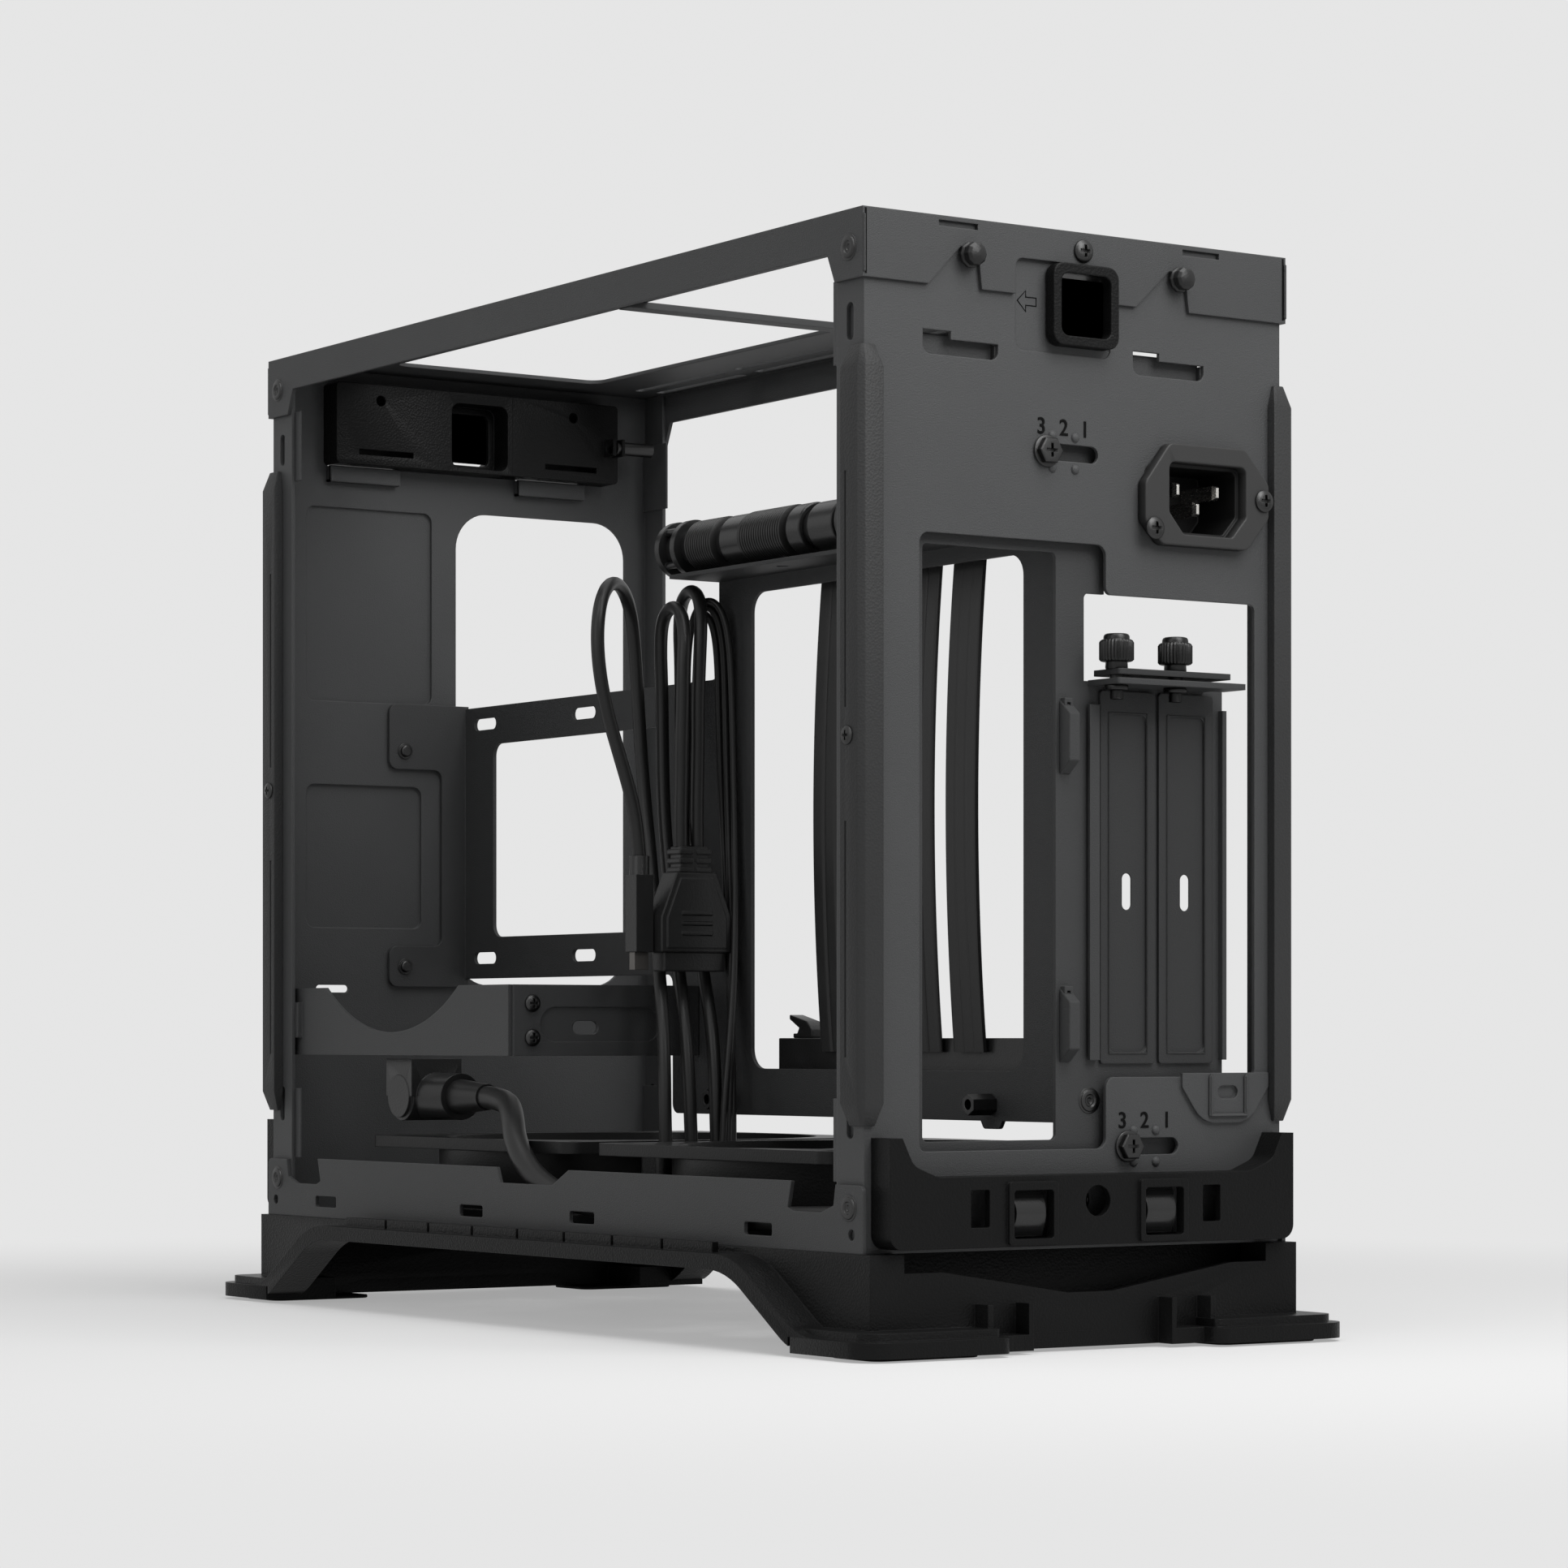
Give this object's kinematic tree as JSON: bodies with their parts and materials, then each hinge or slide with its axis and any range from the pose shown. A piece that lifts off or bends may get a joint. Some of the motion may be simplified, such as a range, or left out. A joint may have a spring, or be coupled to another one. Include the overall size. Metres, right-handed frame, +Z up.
{
  "type": "mini-itx computer case",
  "caption": "Open frame of a small upright computer case: arched base, floor fans, sliding spine sheet, stepped rear window and top collar.",
  "frame": {"origin": "bottom centre of the base, on the table", "axes": "+Z up, +Y out of the rear face, +X out of the mainboard side"},
  "size_m": [0.165, 0.366, 0.3016],
  "materials": {
    "brass": "plain",
    "cable": "satin jacket",
    "connector": "satin",
    "fan": "moulded black",
    "hardware": "black-zinc plated",
    "pin_metal": "bright",
    "plastic": "moulded black, faint grain",
    "ribbon": "ribbed satin jacket",
    "rubber": "matt",
    "steel": "fine-textured black powder coat",
    "tube": "satin black"
  },
  "bodies": {
    "chassis": {"base": "plastic", "foot_pads": "rubber", "lower_frame": "steel", "rear_trim": "plastic", "front_trim": "plastic", "clip_springs": "hardware", "rear_panel": "steel", "front_panel": "steel", "top_frame": "steel", "cross_bar": "steel", "guard_rear_left": "plastic", "guard_rear_right": "plastic", "guard_front_left": "plastic", "guard_front_right": "plastic", "guard_screws": "hardware", "mains_inlet": "plastic", "inlet_pins": "pin_metal", "inlet_screws": "hardware", "rear_bezel": "plastic", "front_bezel": "plastic", "snap_studs": "plastic", "top_screws": "hardware", "frame_rivets": "hardware", "front_tray": "plastic", "tray_pin": "hardware", "psu_band": "steel", "psu_arm": "steel", "psu_screws": "hardware", "mains_plug": "connector", "mains_relief": "cable", "mains_lead": "cable", "cable_gland": "connector", "front_cable_1": "cable", "front_cable_2": "cable", "front_cable_3": "cable", "connector_wide": "connector", "connector_slim": "connector", "slim_contact": "brass", "fan_frame_front": "fan", "fan_frame_rear": "fan"},
    "impeller_front": {"fan_impeller_front": "fan"},
    "impeller_rear": {"fan_impeller_rear": "fan"},
    "filter": {"dust_filter": "plastic"},
    "spine": {"spine_tray": "steel", "io_plate": "steel", "slot_cover_1": "steel", "slot_cover_2": "steel", "slot_clamp": "steel", "thumbscrews": "hardware", "position_screws": "hardware", "standoffs": "hardware", "riser_ribbon": "ribbon", "riser_socket": "connector", "riser_latch": "connector", "riser_plug": "connector", "tube_core": "tube", "tube_collars": "tube", "tube_sleeves": "tube", "tube_rings": "tube", "spine_rivets": "hardware"}
  },
  "joints": [
    {"name": "spine_shift", "type": "slide", "parent": "chassis", "child": "spine", "axis": [-1, 0, 0], "range_m": [0, 0.0155]},
    {"name": "fan_front_spin", "type": "hinge", "parent": "chassis", "child": "impeller_front", "pos_m": [0, -0.0615, 0.041], "axis": [0, 0, 1], "continuous": true},
    {"name": "fan_rear_spin", "type": "hinge", "parent": "chassis", "child": "impeller_rear", "pos_m": [0, 0.0725, 0.041], "axis": [0, 0, 1], "continuous": true},
    {"name": "filter_pull", "type": "slide", "parent": "chassis", "child": "filter", "axis": [0, -1, 0], "range_m": [0, 0.15]}
  ]
}
